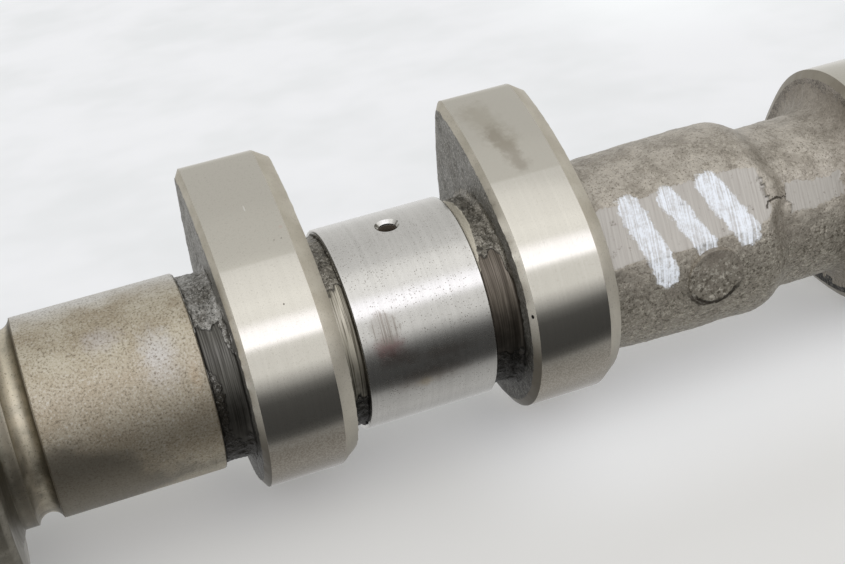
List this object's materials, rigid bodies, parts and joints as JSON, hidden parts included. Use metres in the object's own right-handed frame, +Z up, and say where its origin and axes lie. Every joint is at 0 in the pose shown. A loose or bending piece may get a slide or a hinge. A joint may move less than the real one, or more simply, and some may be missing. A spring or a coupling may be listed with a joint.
{
  "type": "camshaft",
  "caption": "One-piece cast-iron camshaft for a twin-cylinder engine: two pairs of ground cam lobes, ground journals, a cast barrel and a sprocket flange.",
  "frame": {"origin": "on the shaft axis, at the flange face that the sprocket bolts against", "axes": "+X along the shaft away from the sprocket, +Z up as the shaft lies at rest on its flange and the flanks of the far lobes, +Y away from the side that shows the gate stub"},
  "size_m": [0.1676, 0.0378, 0.0378],
  "materials": {
    "cast_iron": "ground journals and lobes, sand-cast body",
    "plug_steel": "plain machined"
  },
  "bodies": {
    "root": {"camshaft": "cast_iron", "gallery_plug": "plug_steel"}
  },
  "joints": []
}
